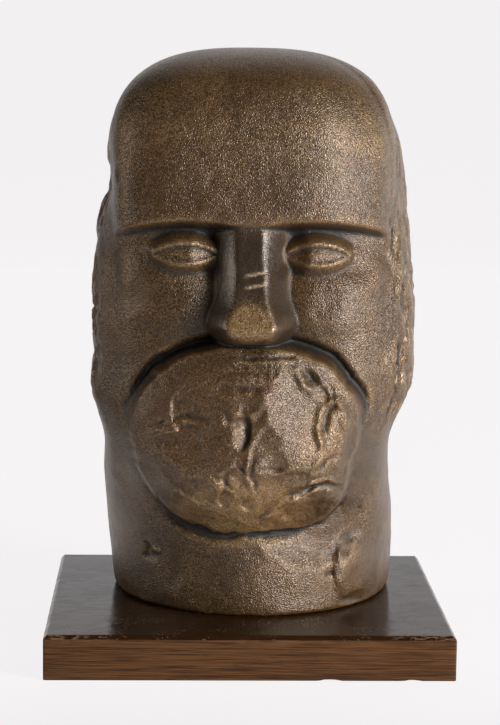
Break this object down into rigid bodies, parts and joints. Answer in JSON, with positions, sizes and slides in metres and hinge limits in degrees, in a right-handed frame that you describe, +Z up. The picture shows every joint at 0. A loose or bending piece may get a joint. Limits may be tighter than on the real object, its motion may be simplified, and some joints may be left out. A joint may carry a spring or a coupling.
{
  "type": "bronze bust",
  "caption": "Blocky bearded bronze head with rough side hair, standing on a flat dark wooden plinth.",
  "frame": {"origin": "middle of the plinth's underside", "axes": "+Z up, the face looks to -Y, +X to the right as one looks at the face"},
  "size_m": [0.24, 0.22, 0.3644],
  "materials": {
    "bronze": "sand-cast bronze with a dark brown patina, grainy, worn warmer on the high places",
    "dark_wood": "dark stained hardwood, semi-gloss on top, scratched and worn at the edges"
  },
  "bodies": {
    "root": {"bronze_head": "bronze", "wood_plinth": "dark_wood"}
  },
  "joints": []
}
